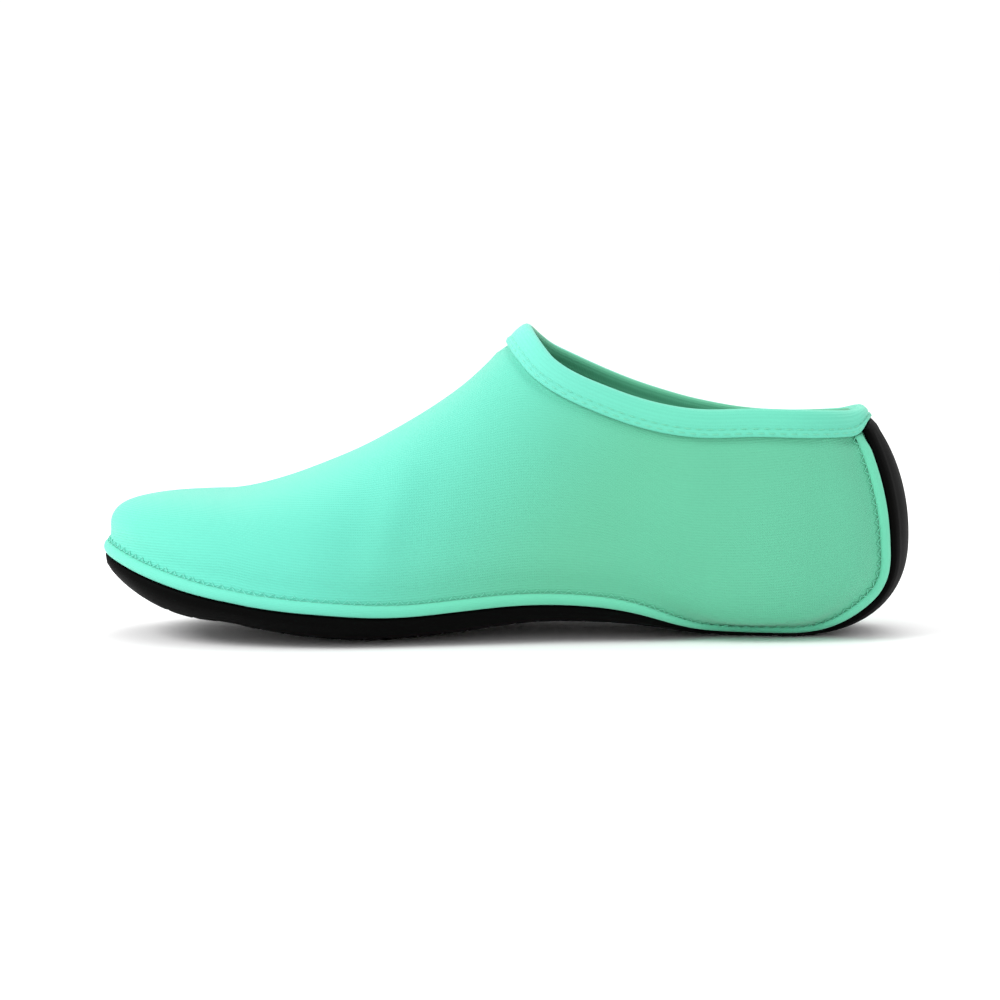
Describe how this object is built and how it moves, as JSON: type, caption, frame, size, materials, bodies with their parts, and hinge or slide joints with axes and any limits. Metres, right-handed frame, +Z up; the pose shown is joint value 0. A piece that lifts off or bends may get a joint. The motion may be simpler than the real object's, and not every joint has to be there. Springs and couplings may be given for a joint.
{
  "type": "water shoe",
  "caption": "Slip-on water shoe with a smooth mint stretch upper, folded collar hem, piped seam and thin black rubber sole that runs up the back of the heel",
  "frame": {"origin": "centre of the bounding box's footprint, on the floor under the sole", "axes": "+X from toe to heel, +Y from the medial to the lateral side, +Z up"},
  "size_m": [0.2492, 0.0926, 0.095],
  "materials": {
    "upper_fabric": "matte stretch knit",
    "black_rubber": "satin moulded rubber",
    "hem_fabric": "matte stretch knit",
    "piping_fabric": "smooth rolled fabric",
    "insole_foam": "fabric-covered foam"
  },
  "bodies": {
    "root": {"upper": "upper_fabric", "outsole": "black_rubber", "collar_binding": "hem_fabric", "seam_piping": "piping_fabric", "insole": "insole_foam"}
  },
  "joints": []
}
